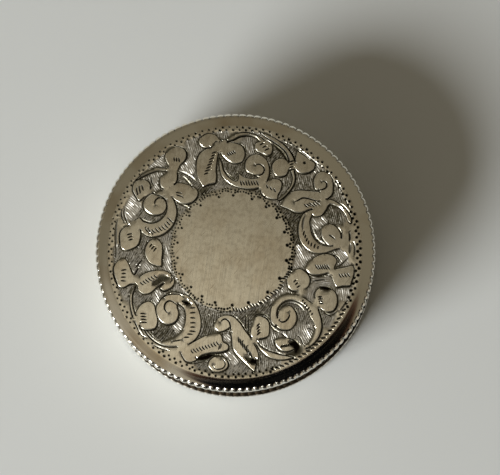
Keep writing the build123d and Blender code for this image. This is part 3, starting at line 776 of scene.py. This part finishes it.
def within(track, places):
    """True for each place inside a closed track."""
    x, y = places[:, :1], places[:, 1:]
    x0, y0, x1, y1 = track[:-1, 0], track[:-1, 1], track[1:, 0], track[1:, 1]
    spans = (y0 > y) != (y1 > y)
    crossing = x0 + (y - y0) * (x1 - x0) / np.where(y1 == y0, 1, y1 - y0)
    return (spans & (x < crossing)).sum(1) % 2 == 1


def close_to(track, places, reach):
    """Which places lie in the track's box, widened by a reach in mm."""
    low, high = track.min(0) - reach, track.max(0) + reach
    return np.flatnonzero(((places > low) & (places < high)).all(1))


line_spacing = 0.16
dome_width = 0.5
dome_drop = 0.014
outlines = [curve(points, True, line_spacing) for points in figures.values()]
hollow_outlines = [curve(points, True, line_spacing) for points in hollows]


def inside_figures(places, among):
    """How far each place lies inside one of some outlines, in mm; negative is outside, down to -1."""
    depth = np.full(len(places), -1.0)
    for outline in among:
        near = close_to(outline, places, 1.0)
        distance = nearest(outline, places[near])[0]
        inward = np.where(within(outline, places[near]), distance, -distance)
        depth[near] = np.maximum(depth[near], inward)
    return depth


def winding(track):
    """1 for a closed track that runs anticlockwise, -1 for one that runs clockwise."""
    return np.sign(np.sum(track[:-1, 0] * track[1:, 1] - track[1:, 0] * track[:-1, 1]))


def off_stems(places):
    """A share of 0 at the stems where leaves join to 1 away from them."""
    share = np.ones(len(places))
    for x, y, radius in stems:
        past = np.hypot(places[:, 0] - x, places[:, 1] - y) - radius
        share = np.minimum(share, np.clip(past / stem_fade, 0, 1))
    return share


def is_closed(track):
    """True for a track that ends where it starts."""
    return np.allclose(track[0], track[-1])


def heading(angle):
    """The flat direction of an angle."""
    return np.array([math.cos(angle), math.sin(angle)])


def wave(count, turns):
    """So many values of a wave from -1 to 1, with so many turns, started anywhere."""
    return np.sin(2 * math.pi * (turns * np.linspace(0, 1, count) + rng.uniform(0, 1)))


# Every stroke of the tool is a track in mm with half its width and its walls' slope along it, and
# how much soil it holds. Outlines swell and thin with the side they face and the hand, between the
# lightest and heaviest shares of their width, and stop where leaves join or overlap. Open cuts taper
# to their ends, and the short strokes are steep nicks.
outline_width = 0.42
even_share, facing_share, hand_share = 0.74, 0.26, 0.22
lightest, heaviest = 0.3, 1.15
lifted = 0.001
overlap = 0.12
slope_wander = 0.25
swell_turns, slope_turns = 2, 3
taper_power = 3
nick_turn_jitter, nick_lengths, nick_bow = 4, (0.85, 1.15), 0.06
row_spacing = 0.02
outline_slope, nick_slope = 0.85, 1.2
outline_soil, nick_soil = 1.15, 1.4
cut_slope = {hair: 0.72, fine: 0.95, vein: 1.15, medium: 0.66, bold: 0.68}
cut_soil = {hair: 0.8, fine: 1.1, vein: 1.4, medium: 0.7, bold: 0.45}
light_side = math.radians(125)
outer_steepness = 1.2
steep_figures = {"stem_ribbon": 0.5, "top_arch": 0.35}
strokes = []
for name, outline in zip(figures, outlines):
    others = [other for other in outlines if other is not outline]
    swell = hand_share * wave(len(outline), swell_turns)
    ahead = np.gradient(outline, axis=0)
    facing = np.arctan2(-winding(outline) * ahead[:, 0], winding(outline) * ahead[:, 1])
    weight = np.clip(even_share - facing_share * np.cos(facing - light_side) + swell, lightest, heaviest)
    half_widths = np.maximum(outline_width / 2 * weight * off_stems(outline), lifted)
    half_widths = np.where(inside_figures(outline, others) > overlap, lifted, half_widths)
    slopes = outline_slope + steep_figures.get(name, 0)
    slopes = slopes + slope_wander * wave(len(outline), slope_turns)
    strokes.append((outline, half_widths, slopes, outline_soil))


def open_stroke(track, width, slope, soil):
    """Adds a stroke that tapers to both its ends."""
    taper = 1 - np.abs(np.linspace(-1, 1, len(track))) ** taper_power
    strokes.append((track, np.maximum(width / 2 * taper, lifted), np.full(len(track), slope), soil))


for width, points in cuts:
    open_stroke(curve(points, False, line_spacing), width, cut_slope[width], cut_soil[width])
for line, count, lean, length in stroke_rows:
    row = curve(line, False, row_spacing)
    for place in row[np.linspace(0, len(row) - 1, count).astype(int)]:
        angle = math.radians(lean + rng.normal(0, nick_turn_jitter))
        arm = 0.5 * length * rng.uniform(*nick_lengths) * heading(angle)
        bow = nick_bow * np.array([-arm[1], arm[0]])
        nick = curve([place - arm, place + bow, place + arm], False, line_spacing)
        open_stroke(nick, stroke_width, nick_slope, nick_soil)

dots = []
dot_sizes, border_dot_sizes = (0.8, 1.15), (0.85, 1.15)


def set_dash(place, length, width, shift, lean):
    """Sets a slanted dash of the graver at a place, shifted outwards."""
    arm = length / 2 * heading(math.atan2(place[1], place[0]) + math.radians(lean))
    middle = place * (1 + shift / np.linalg.norm(place))
    open_stroke(np.linspace(middle - arm, middle + arm, dash_points), width, dash_slope, dash_soil)


def set_dot(place, radius):
    """Sets a punch dot, smaller and paler where it is worn."""
    worn = 0.5 - 0.5 * math.cos(math.atan2(place[1], place[0]) - unworn_side)
    dots.append((place, radius * (fresh_size - worn_off * worn), punch_soil * (1 - soil_worn_off * worn)))


def in_run(place, run):
    """True where dashes stand for the dots."""
    return run[0] < math.degrees(math.atan2(place[1], place[0])) % 360 < run[1]


frame_points = [frame_centre + frame_radius * heading(math.radians(degrees)) for degrees in frame_angles]
for here, there in zip(frame_points, frame_points[1:] + frame_points[:1]):
    set_dot(here, large_dot)
    out = (here + there) / 2 - frame_centre
    out = out / np.linalg.norm(out)
    for lift in (scallop_start, scallop_start + scallop_step):
        count = round(np.linalg.norm(there - here) / scallop_step)
        for t in (np.arange(count) + 0.5) / count:
            place = here + (there - here) * t + out * (lift + scallop_bulge * 4 * t * (1 - t))
            place = place + rng.normal(0, scallop_jitter, 2)
            if not in_run(place, frame_run):
                set_dot(place, tiny_dot * rng.uniform(*dot_sizes))
            elif lift == scallop_start:
                set_dash(place, **frame_dash)
set_dot(leaf_dot, large_dot)
for row, radius in enumerate(border_radii):
    for k in range(border_count):
        angle = 2 * math.pi * (k + 0.5 * row) / border_count + rng.normal(0, border_turn_jitter)
        place = border_centre + heading(angle) * (radius + rng.normal(0, border_jitter))
        clear_of_leaves = inside_figures(place[None], outlines)[0] < -border_clear
        if clear_of_leaves and not in_run(place, border_run):
            set_dot(place, border_dot * rng.uniform(*border_dot_sizes))
for degrees in np.arange(*border_run, border_dash_step):
    set_dash(border_centre + border_radii[0] * heading(math.radians(degrees)), **border_dash)

# The plan of the field: points in mm with a height for the hatching, and the lines that the mesh
# has to follow. Loose points keep clear of those already set: beside the strokes, inset in leaves and
# hollows, round the dots, along the hatching, and then wherever there is room.
plan = []
plan_rise = []
plan_lines = []
taken = {}
clear_cell = 0.08
edge_clear = 0.05
least_half = 0.02
leaf_insets, leaf_clear, leaf_share = (0.3, dome_width), 0.2, 0.9
hollow_inset, hollow_least = 0.1, 0.08
dot_sides, dot_rim, dot_clear = 8, 1.4, 0.05
fill_spacing, fill_clear = 0.4, 0.3
merge_gap = 1e-6


def set_point(x, y, rise=0.0):
    """Adds a point to the plan."""
    taken.setdefault((round(x / clear_cell), round(y / clear_cell)), []).append((x, y))
    plan.append(Vector((x, y)))
    plan_rise.append(rise)


def set_loose(x, y, rise=0.0, clear=clear_cell):
    """Adds a point to the plan, unless another is nearer than clear, in mm, or the field's edge is."""
    i, j = round(x / clear_cell), round(y / clear_cell)
    reach = math.ceil(clear / clear_cell)
    for di in range(-reach, reach + 1):
        for dj in range(-reach, reach + 1):
            if any(math.hypot(x - a, y - b) < clear for a, b in taken.get((i + di, j + dj), ())):
                return
    if math.hypot(x, y) < field_radius - edge_clear:
        set_point(x, y, rise)


def beside(track, left, right, every=1):
    """Places on both sides of a track, so far to its left and right in mm, at every so many steps."""
    ahead = np.gradient(track, axis=0)
    across = np.stack([-ahead[:, 1], ahead[:, 0]], 1) / np.linalg.norm(ahead, axis=1)[:, None]
    return np.vstack([(track + across * left)[::every], (track - across * right)[::every]])


for k in range(ROUND_COLUMNS):
    set_point(*(field_radius * heading(2 * math.pi * k / ROUND_COLUMNS)))
    plan_lines.append((k, (k + 1) % ROUND_COLUMNS))
for track, half_widths, slopes, soil in strokes:
    first = len(plan)
    for x, y in track[:-1] if is_closed(track) else track:
        set_point(x, y)
    plan_lines.extend((i, i + 1) for i in range(first, len(plan) - 1))
    if is_closed(track):
        plan_lines.append((len(plan) - 1, first))
for track, half_widths, slopes, soil in strokes:
    half = np.maximum(half_widths, least_half)[:, None]
    left, right = half, half
    if is_closed(track):
        left = half if winding(track) > 0 else half / outer_steepness
        right = half if winding(track) < 0 else half / outer_steepness
    for x, y in beside(track, left, right):
        set_loose(x, y)
for outline in outlines:
    for inset in leaf_insets:
        inner = beside(outline, inset, inset, every=2)
        for x, y in inner[inside_figures(inner, [outline]) > leaf_share * inset]:
            set_loose(x, y, clear=leaf_clear)
for outline in hollow_outlines:
    inner = beside(outline, hollow_inset, hollow_inset)
    for x, y in inner[inside_figures(inner, [outline]) > hollow_least]:
        set_loose(x, y)
for place, radius, soil in dots:
    set_loose(*place, clear=dot_clear)
    for reach in (radius, dot_rim * radius):
        for k in range(dot_sides):
            set_loose(*(place + reach * heading(2 * math.pi * k / dot_sides)), clear=dot_clear)

patch_places = np.array([patch[:2] for patch in hatch_patches])


def hatched(places):
    """Which patch of hatching each place belongs to, and a share of 0 to 1, less near plain places."""
    from_patches = np.linalg.norm(places[:, None] - patch_places, axis=2)
    from_plain = np.linalg.norm(places[:, None] - np.array(plain_places), axis=2).min(1)
    share = np.clip(0.5 + (from_plain - from_patches.min(1)) / plain_fade, 0, 1) * off_stems(places)
    return from_patches.argmin(1), share


for number, (px, py, angle, soil) in enumerate(hatch_patches):
    turn = math.radians(angle)
    along, across = np.meshgrid(np.arange(-hatch_reach, hatch_reach, hatch_spacing),
                                np.arange(-hatch_reach, hatch_reach, hatch_pitch / 2))
    line = np.arange(along.shape[0])[:, None]
    along = along + hatch_spacing / 2 * (line % 2)
    turns = along / rng.uniform(*hatch_lengths, line.shape) + rng.uniform(0, 1, line.shape)
    fading = 1 - hatch_fade + hatch_fade * np.sin(2 * math.pi * turns)
    side = np.where(line % 2, 1.0, -1.0) * rng.uniform(*hatch_strengths, line.shape) * fading
    across = across + hatch_sway * np.sin(sway_turn * along + rng.uniform(0, 6))
    across = across + rng.normal(0, hatch_wander, line.shape)
    spots = np.stack([px + along * math.cos(turn) - across * math.sin(turn),
                      py + along * math.sin(turn) + across * math.cos(turn)], 2).reshape(-1, 2)
    side = side.ravel() + rng.normal(0, hatch_grain, side.size)
    owner, share = hatched(spots)
    reach = np.hypot(spots[:, 0], spots[:, 1])
    from_frame = np.hypot(spots[:, 0] - frame_centre[0], spots[:, 1] - frame_centre[1])
    keep = (owner == number) & (share > least_share) & (reach < hatch_end) & (from_frame > hatch_start)
    spots, side = spots[keep], side[keep]
    on_ground = inside_figures(spots, outlines) < -clear_cell
    for (x, y), up in zip(spots[on_ground], side[on_ground]):
        set_loose(x, y, up)
for y in np.arange(-field_radius, field_radius, fill_spacing):
    for x in np.arange(-field_radius, field_radius, fill_spacing):
        set_loose(x, y, clear=fill_clear)

flat_points, _, flat_faces, came_from, _, _ = delaunay_2d_cdt(plan, plan_lines, [], 0, merge_gap)
places = np.array(flat_points)
rise = np.array([plan_rise[source[0]] if source else 0.0 for source in came_from])

# How deep the tool went at each point of the mesh, and how much old polish and painted shade lies
# there; the shade is painted on the ground beside the leaves and in the hollows. The hatched band runs
# from the dotted frame to the border, a little further out on the side packed with polish.
band_start, band_fade = 10.1, 0.3
band_end, packed_reach, end_fade = 20.05, 0.35, 0.15
packed_side = math.radians(290)
furrow_soil, patchiness = 1.1, (0.4, 1.6)
narrow_half = 0.1
hollow_depth, hollow_wall, hollow_polish_and_shade = 0.22, 0.15, 1.25
dot_reach, dot_edge, dot_fade = 1.1, 1.05, 0.35
reach = np.hypot(places[:, 0], places[:, 1])
from_frame = np.hypot(places[:, 0] - frame_centre[0], places[:, 1] - frame_centre[1])
depth_inside = inside_figures(places, outlines)
from_packed_side = np.arctan2(places[:, 1], places[:, 0]) - packed_side
field_edge = band_end + packed_reach * np.maximum(0, np.cos(from_packed_side))
in_band = np.clip((from_frame - band_start) / band_fade, 0, 1)
in_band = in_band * np.clip((field_edge - reach) / end_fade, 0, 1)
owner, share = hatched(places)
ground = np.clip(-depth_inside / ground_bevel, 0, 1) * in_band * share
cut = np.zeros(len(places))
# Painted shade: the ground beside the leaves is painted darker.
painted_edge_shade = edge_shade * np.clip(1 + (depth_inside + ground_bevel) / edge_reach, 0, 1)
grime_and_shade = np.maximum(np.array([patch[3] for patch in hatch_patches])[owner], painted_edge_shade) * ground
grime_and_shade = grime_and_shade * furrow_soil * np.clip(1 - rise, 0, 2) * rng.uniform(*patchiness, len(places))
for track, half_widths, slopes, soil in strokes:
    near = close_to(track, places, half_widths.max())
    distance, along = nearest(track, places[near])
    steps = np.linspace(0, 1, len(track))
    half = np.interp(along, steps, half_widths)
    wall = np.interp(along, steps, slopes)
    outer_wall = wall
    if is_closed(track):
        outer_wall = np.where(within(track, places[near]), wall, outer_steepness * wall)
    sunk = wall * half - outer_wall * distance
    if not is_closed(track):
        sunk = np.where(sunk > 0, sunk + ground_depth * ground[near], 0)
    cut[near] = np.maximum(cut[near], sunk)
    held = soil * (1 - distance / half) * np.clip(half / narrow_half, 0, 1)
    grime_and_shade[near] = np.maximum(grime_and_shade[near], held)
# The hollows are sunk and painted near black, old polish and a painted shade.
for outline in hollow_outlines:
    near = close_to(outline, places, hollow_inset)
    distance = nearest(outline, places[near])[0]
    sunk = np.where(within(outline, places[near]), np.clip(distance / hollow_wall, 0, 1), 0)
    cut[near] = np.maximum(cut[near], hollow_depth * sunk)
    grime_and_shade[near] = np.maximum(grime_and_shade[near], hollow_polish_and_shade * sunk)
for place, radius, soil in dots:
    near = close_to(place[None], places, dot_reach * radius)
    distance = np.hypot(*(places[near] - place).T)
    cut[near] = np.maximum(cut[near], punch_slope * (radius - distance))
    held = soil * (1 - dot_fade * distance / radius)
    grime_and_shade[near] = np.where(distance < dot_edge * radius, held, grime_and_shade[near])
height = crown_height - crown_radius + np.sqrt(crown_radius ** 2 - reach ** 2)
edge = np.clip(1 - depth_inside / dome_width, 0, 1)
dome = np.where(depth_inside > 0, dome_drop * edge ** 2, dome_drop * in_band)
height = height - np.maximum(ground * (ground_depth - 0.5 * hatch_depth * rise), cut) - dome

# The rest of the plate, row by row from the field's edge: over the shoulder, down the edge, and
# back under to the middle.
shoulder_chord = Vector((shoulder_width, -shoulder_rise))
arc_radius = (shoulder_chord.length ** 2 / 4 + shoulder_bulge ** 2) / (2 * shoulder_bulge)
arc_half = math.asin(shoulder_chord.length / 2 / arc_radius)
arc_middle = math.atan2(shoulder_width, shoulder_rise)
arc_centre = (Vector((field_radius, field_height)) + shoulder_chord / 2
              - (arc_radius - shoulder_bulge) * Vector(heading(arc_middle)))
profile = []
shoulder_rows = 10
for row in range(1, shoulder_rows + 1):
    angle = arc_middle + arc_half * (1 - 2 * row / shoulder_rows)
    out, up = arc_radius * heading(angle)
    profile.append((arc_centre.x + out, arc_centre.y + up))
profile += [(wall_radius, lid_seat), (lid_inner_radius, lid_seat)]
profile.append((field_radius, field_height - lid_thickness))
under_rows = 5
under_height = crown_height - lid_thickness
for row in range(1, under_rows):
    r = field_radius * (1 - row / under_rows)
    profile.append((r, under_height - crown_radius + math.sqrt(crown_radius ** 2 - r ** 2)))
points = np.column_stack([places, height]).tolist()
faces = [list(face) for face in flat_faces]
position = {source: i for i, sources in enumerate(came_from) for source in sources}
ring = [position[k] for k in range(ROUND_COLUMNS)]
for r, z in profile:
    first = len(points)
    for k in range(ROUND_COLUMNS):
        angle = 2 * math.pi * k / ROUND_COLUMNS
        points.append((r * math.cos(angle), r * math.sin(angle), z))
    following = list(range(first, first + ROUND_COLUMNS))
    for k in range(ROUND_COLUMNS):
        ahead = (k + 1) % ROUND_COLUMNS
        faces.append([ring[k], following[k], following[ahead], ring[ahead]])
    ring = following
points.append((0, 0, under_height))
for k in range(ROUND_COLUMNS):
    faces.append([ring[k], len(points) - 1, ring[(k + 1) % ROUND_COLUMNS]])

# Engraved sterling: cut silver, worn smooth and bright on the leaves and dull on the hatched ground,
# with old polish and tarnish dark in the cuts, and painted shade darkening the ground beside the leaves
# and the hollows. It gives warm satin leaves with dark and bright lines.
GROUND_SILVER = "#E2DED3"
CUT_POLISH_AND_SHADE = "#6B6654"
TARNISH_DARK = "#6E5C44"
DEEP_POLISH_AND_SHADE = "#110C06"
engraved_sterling, tree, shader = metal("engraved_sterling")
on_ground = node(tree, "Attribute", attribute_name="ground").outputs["Fac"]
cut_grime_and_shade = node(tree, "Attribute", attribute_name="cut").outputs["Fac"]
veil = ramp(tree, noise(tree, size=6.0, detail=5), 0.45, 1.1)
rubs = scratches(tree, across=0.10, along=6.0, angle=8)
hairs = ramp(tree, scratches(tree, across=0.16, along=2.6, angle=38), 0.64, 0.74, to_high=0.45)
specks = ramp(tree, noise(tree, size=0.7, detail=4), 0.45, 0.75, to_high=0.3)
stain_and_shade = ramp(tree, cut_grime_and_shade, 0.05, 0.5)
deep = ramp(tree, cut_grime_and_shade, 0.65, 1.15)
face_tone = mix(tree, veil, SILVER, TARNISH)
ground_tone = mix(tree, on_ground, face_tone, GROUND_SILVER)
rubbed_tone = mix(tree, combine(tree, "MAXIMUM", hairs, specks), ground_tone, TARNISH_DARK)
stained_tone = mix(tree, stain_and_shade, rubbed_tone, CUT_POLISH_AND_SHADE)
tone = mix(tree, deep, stained_tone, DEEP_POLISH_AND_SHADE)
face_dull = ramp(tree, rubs, 0.35, 0.75, to_low=0.16, to_high=0.3)
ground_dull = node(tree, "Mix", {0: on_ground, 2: face_dull, 3: 0.45}).outputs[0]
dull = node(tree, "Mix", {0: stain_and_shade, 2: ground_dull, 3: 0.5}).outputs[0]
dress(tree, shader, tone, dull, rubs, strength=0.22, depth=0.01)

engraved_plate = solid("engraved_plate", points, faces)
spare = [0.0] * (len(points) - len(places))
paint(engraved_plate, "ground", ground.tolist() + spare)
# The cut attribute carries old polish and painted shade.
paint(engraved_plate, "cut", grime_and_shade.tolist() + spare)
fit(engraved_plate, "lid_plate", "engraved_silver", engraved_sterling, polished_sterling, gilt_sterling)
for face in engraved_plate.data.polygons:
    on_shoulder = face.center.xy.length > field_radius * MM
    looks_down = face.normal.z < -0.5
    face.material_index = 2 if looks_down else int(on_shoulder)

# Lid milled wire
# The same milled wire as at the foot, soldered round the lid's rim, where it is the grip.
grip_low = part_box("lid_milled_wire")[0]
rim_wire = milled_ring("rim_wire", grip_low.z / MM, rim_top_shade, tooth_depth)
fit(rim_wire, "lid_milled_wire", "milled_silver", milled_sterling)

# Floor
# A plain pale sheet that the box stands on.
FLOOR = "#D2D4D1"
floor_half = 1.5
floor_mesh = bpy.data.meshes.new("floor")
floor_mesh.from_pydata([(-floor_half, -floor_half, 0), (floor_half, -floor_half, 0),
                        (floor_half, floor_half, 0), (-floor_half, floor_half, 0)], [], [(0, 1, 2, 3)])
floor = bpy.data.objects.new("floor", floor_mesh)
bpy.context.scene.collection.objects.link(floor)
pale_matt = bpy.data.materials.new("pale_matt_floor")
pale_matt.use_nodes = True
pale_matt.node_tree.nodes["Principled BSDF"].inputs["Base Color"].default_value = linear(FLOOR)
pale_matt.node_tree.nodes["Principled BSDF"].inputs["Roughness"].default_value = 0.9
floor_mesh.materials.append(pale_matt)

# Light
# One large soft lamp low on the left in front, and a dim warm room: lighter straight overhead and
# towards the lamp, dark in front, with a pale wall behind and a paler corner at the right.
key_azimuth = math.radians(219.3)
key_elevation = math.radians(21.6)
key_direction = Vector((math.cos(key_azimuth) * math.cos(key_elevation),
                        math.sin(key_azimuth) * math.cos(key_elevation), math.sin(key_elevation)))
key_distance = 1.5
lamp_half_width, lamp_half_height = math.radians(15), math.radians(11.4)
lamp_power = 39.5
LAMP_WHITE = "#FBFDFF"
key_lamp = bpy.data.lights.new("key_lamp", "AREA")
key_lamp.shape = "ELLIPSE"
key_lamp.size = 2 * key_distance * math.tan(lamp_half_width)
key_lamp.size_y = 2 * key_distance * math.tan(lamp_half_height)
key_lamp.energy = lamp_power
key_lamp.color = linear(LAMP_WHITE)[:3]
key = bpy.data.objects.new("key_lamp", key_lamp)
key.location = key_direction * key_distance
key.rotation_mode = "QUATERNION"
key.rotation_quaternion = key_direction.to_track_quat("Z", "Y")
key.visible_camera = False
bpy.context.scene.collection.objects.link(key)

ROOM = "#777060"
OVERHEAD = "#DACFB8"
LAMP_GLOW = "#A69F91"
SHADE_EDGE = "#452C20"
SHADE = "#040506"
DIM_ROOM = "#262320"
LOW_FRONT = "#1E1C19"
LOW_SIDES = "#504A40"
PALE_WALL = "#F4F0E4"
PALE_CORNER = "#C4BBAE"
world = bpy.data.worlds.new("studio")
world.use_nodes = True
bpy.context.scene.world = world
tree = world.node_tree
sky = node(tree, "TexCoord").outputs["Generated"]


def toward(direction, from_cosine, to_cosine):
    """A share of 0 to 1 that grows towards a direction of the sky."""
    cosine = node(tree, "VectorMath", {0: sky, 1: Vector(direction).normalized()}, operation="DOT_PRODUCT")
    return node(tree, "MapRange", {"Value": cosine.outputs["Value"], "From Min": from_cosine,
                                   "From Max": to_cosine}, interpolation_type="SMOOTHSTEP").outputs[0]


# The upper room, with a dark patch in front that stops short at the left, and the low walls round it.
shade_end = (0.915, -0.404, 0)
room = mix(tree, toward((0, 0, 1), 0.34, 0.64), DIM_ROOM, ROOM)
glowing_room = mix(tree, toward((-0.45, -0.40, 0.80), 0.86, 0.96), room, LAMP_GLOW)
lit_room = mix(tree, toward((-0.08, -0.06, 1), 0.964, 1.0), glowing_room, OVERHEAD)
shade = combine(tree, "MINIMUM", toward((0.22, -0.48, 0.85), 0.878, 0.895), toward(shade_end, -0.10, -0.03))
half_shade = mix(tree, shade, lit_room, SHADE_EDGE)
deep_shade = combine(tree, "MINIMUM", toward((0.20, -0.48, 0.855), 0.895, 0.915),
                     toward(shade_end, -0.03, 0.03))
shaded_room = mix(tree, deep_shade, half_shade, SHADE)
low_room = mix(tree, toward((0.05, -1, 0.2), 0.80, 0.93), LOW_SIDES, LOW_FRONT)
paler_room = mix(tree, toward((0.75, -0.66, 0.1), 0.90, 0.97), low_room, PALE_CORNER)
walls = mix(tree, toward((-0.26, 0.97, 0.1), 0.78, 0.90), paler_room, PALE_WALL)
around = mix(tree, toward((0, 0, 1), 0.36, 0.24), shaded_room, walls)
tree.links.new(around, tree.nodes["Background"].inputs["Color"])

# Camera
# Nearly overhead, tilted a little towards the front, as a hand holds it over a table.
FRAME_WIDTH, FRAME_HEIGHT = 500, 475
lid_width_px = 280.3
rim_centre_px = (235.15, 252.0)
tilt = math.radians(7.0)
swing = math.radians(80)
camera_distance = 480 * MM
px_per_m = lid_width_px / (2 * crest_radius * MM)
right_of_middle = (FRAME_WIDTH / 2 - rim_centre_px[0]) / px_per_m
above_middle = (rim_centre_px[1] - FRAME_HEIGHT / 2) / px_per_m
aim = Vector((right_of_middle, above_middle, rim_height * MM))
back = Vector((math.sin(tilt) * math.cos(swing), -math.sin(tilt) * math.sin(swing), math.cos(tilt)))
lens = bpy.data.cameras.new("camera")
lens.sensor_width = 36
lens.lens = lens.sensor_width * px_per_m * camera_distance / FRAME_WIDTH
lens.clip_start = 0.01
camera = bpy.data.objects.new("camera", lens)
camera.location = aim + back * camera_distance
camera.rotation_mode = "QUATERNION"
right = Vector((0, 1, 0)).cross(back).normalized()
camera.rotation_quaternion = Matrix((right, back.cross(right), back)).transposed().to_quaternion()
bpy.context.scene.collection.objects.link(camera)
bpy.context.scene.camera = camera
bpy.context.scene.view_settings.view_transform = "Standard"
